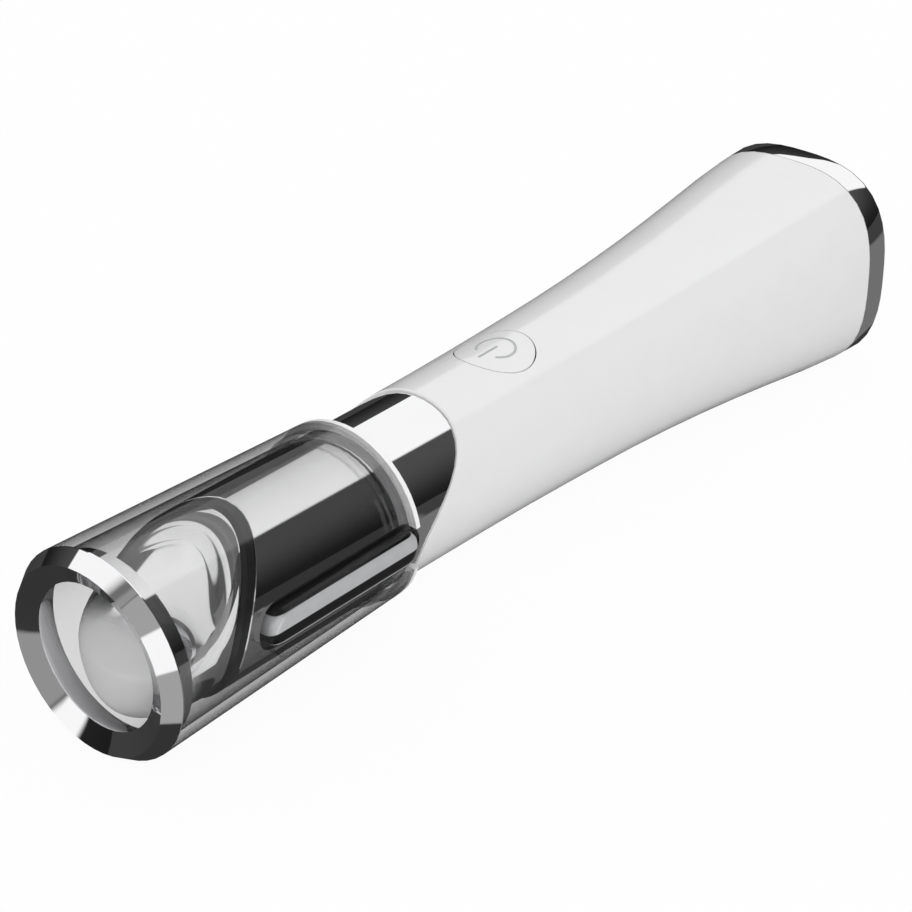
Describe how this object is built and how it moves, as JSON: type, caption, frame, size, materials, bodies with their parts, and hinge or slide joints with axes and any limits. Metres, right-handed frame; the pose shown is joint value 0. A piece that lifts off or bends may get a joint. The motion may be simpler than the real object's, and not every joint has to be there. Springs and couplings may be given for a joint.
{
  "type": "heated eye massager wand",
  "caption": "Slim wand with a flared white handle, a flush power button and a plated, heated, vibrating massage head under a smoked pull-off cap.",
  "frame": {"origin": "centre of the bounding box, on the wand's axis half way along it with its cap on", "axes": "+Y along the wand from the cap to the tail, +Z out through the power button, +X out of the side that carries the contact bar"},
  "size_m": [0.026, 0.124, 0.0272],
  "materials": {
    "smoked_plastic": "smoked see-through plastic, polished",
    "clear_window": "clear plastic, polished",
    "bright_plating": "bright polished plating",
    "head_plating": "bright polished plating",
    "dark_ring": "dark satin plastic",
    "white_plastic": "white gloss plastic",
    "bar_steel": "polished steel",
    "black_rubber": "matt",
    "steel": "plain steel",
    "aluminium": "machined",
    "ceramic": "white ceramic",
    "black_resin": "black moulded resin",
    "grey_plastic": "grey moulded plastic",
    "board_green": "green solder mask",
    "cell_wrap": "blue shrink wrap",
    "brass": "turned",
    "magnet": "sintered",
    "red_wire": "insulated",
    "black_wire": "insulated"
  },
  "bodies": {
    "wand": {"massage_head": "head_plating", "head_collar": "dark_ring", "heat_spreader": "aluminium", "heater_plate": "ceramic", "heat_sensor": "black_resin", "head_carrier": "grey_plastic", "heater_lead": "red_wire", "neck_sleeve": "bright_plating", "contact_bar": "bar_steel", "contact_bar_seat": "black_rubber", "motor_sleeve": "black_rubber", "motor_can": "steel", "motor_bearing": "brass", "motor_magnet": "magnet", "motor_end_cap": "grey_plastic", "motor_lead": "black_wire", "handle_shell": "white_plastic", "switch_body": "black_resin", "inner_frame": "grey_plastic", "circuit_board": "board_green", "controller_chip": "black_resin", "charger_chip": "black_resin", "boost_coil": "magnet", "battery_cell": "cell_wrap", "battery_cap": "steel", "battery_lead": "red_wire", "tail_ring": "bright_plating", "tail_plate": "white_plastic", "charging_socket": "steel", "socket_tongue": "black_resin"},
    "cap": {"cap_bezel": "bright_plating", "cap_window": "clear_window", "cap_shell": "smoked_plastic", "cap_lip": "bright_plating"},
    "button": {"power_button": "white_plastic"},
    "plunger": {"switch_plunger": "grey_plastic"},
    "rotor": {"motor_rotor": "steel", "eccentric_weight": "brass"}
  },
  "joints": [
    {"name": "cap_pull", "type": "slide", "parent": "wand", "child": "cap", "axis": [0, -1, 0], "range_m": [0, 0.05]},
    {"name": "button_press", "type": "slide", "parent": "wand", "child": "button", "axis": [0, 0, -1], "range_m": [0, 0.0004], "stiffness_N_per_m": 800},
    {"name": "plunger_press", "type": "slide", "parent": "wand", "child": "plunger", "axis": [0, 0, -1], "range_m": [0, 0.0004]},
    {"name": "rotor_spin", "type": "hinge", "parent": "wand", "child": "rotor", "pos_m": [0, -0.03, 0], "axis": [0, 1, 0], "continuous": true}
  ],
  "couplings": [
    {"joint": "plunger_press", "follows": "button_press", "ratio": 1}
  ]
}
